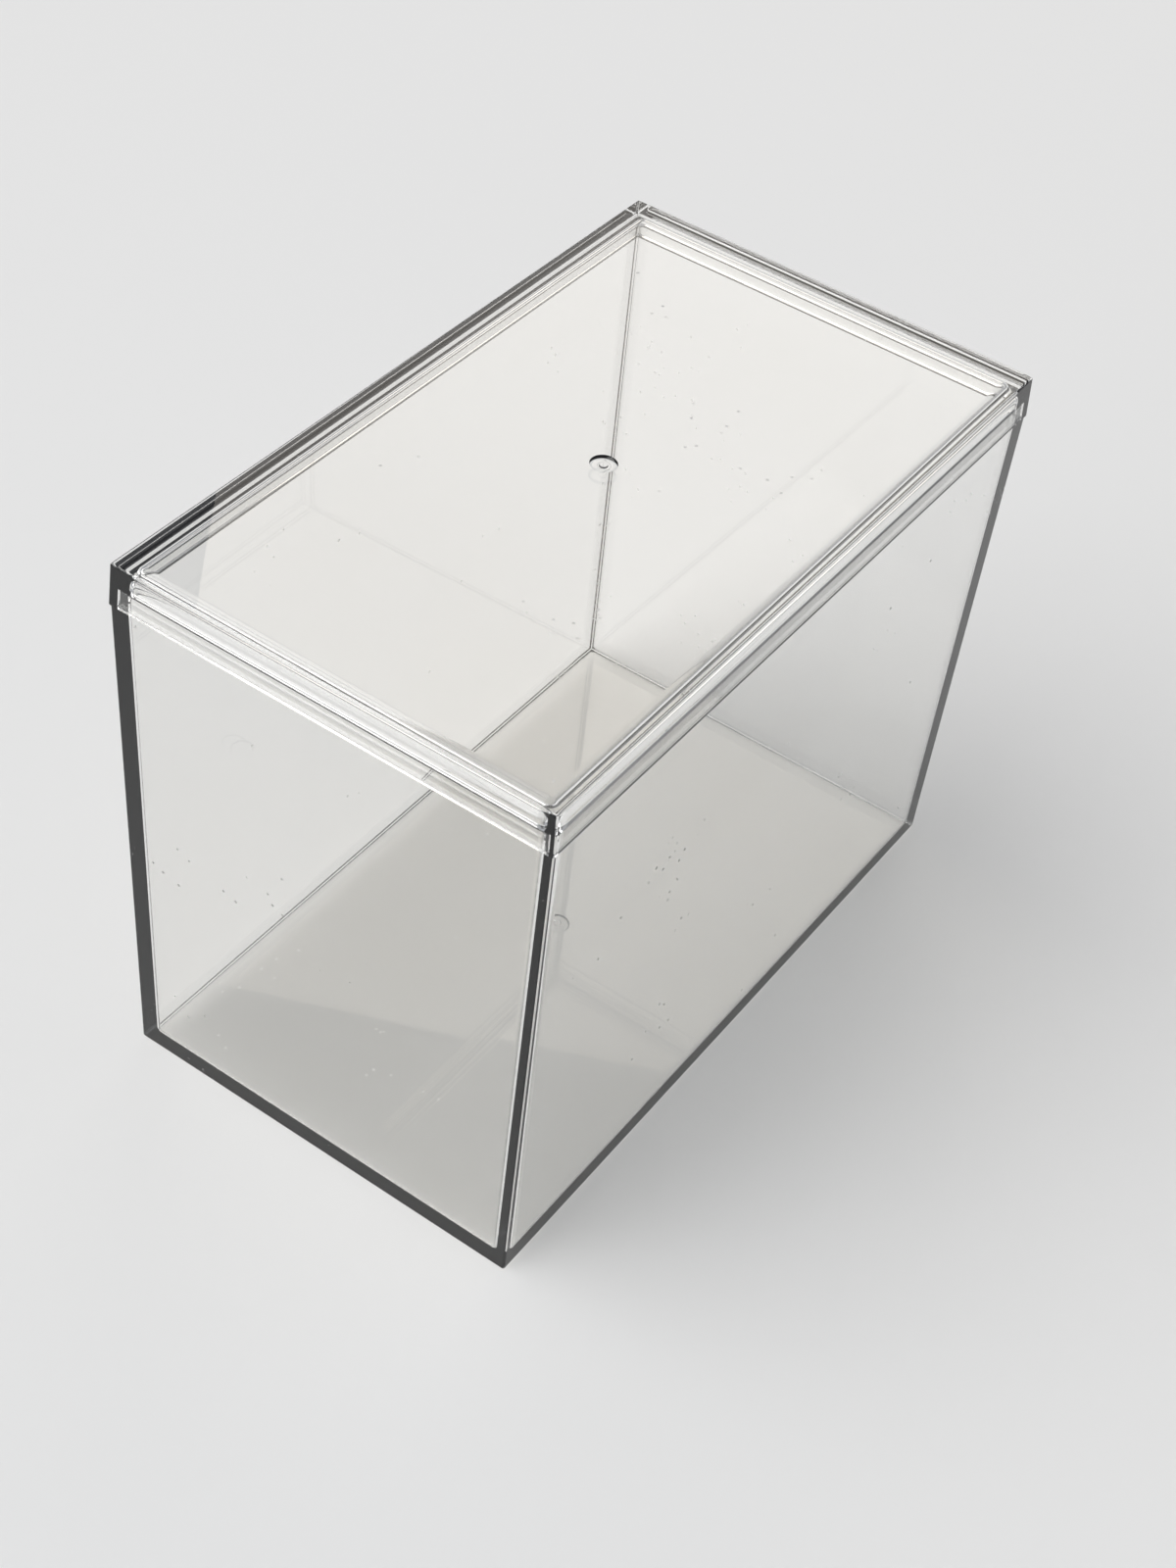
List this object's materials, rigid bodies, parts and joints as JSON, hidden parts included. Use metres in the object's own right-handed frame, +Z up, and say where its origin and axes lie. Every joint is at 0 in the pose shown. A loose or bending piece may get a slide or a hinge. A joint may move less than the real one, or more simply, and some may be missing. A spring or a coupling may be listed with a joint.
{
  "type": "clear storage box with lid",
  "caption": "Rectangular clear plastic storage box with a lift-off lid whose thin lip laps over a stepped rim.",
  "frame": {"origin": "middle of the underside of the body, on the surface that it stands on", "axes": "+X along the long side, +Y along the short side, +Z up through the lid"},
  "size_m": [0.12, 0.071, 0.0925],
  "materials": {
    "clear_body": "clear colourless moulded plastic, polished, slightly warm where light gathers in the edges",
    "clear_lid": "clear colourless moulded plastic, polished, with a round feed mark in the middle of the top"
  },
  "bodies": {
    "body": {"box_body": "clear_body"},
    "lid": {"lid": "clear_lid"}
  },
  "joints": [
    {"name": "lid_lift", "type": "slide", "parent": "body", "child": "lid", "axis": [0, 0, 1], "range_m": [0, 0.1]}
  ]
}
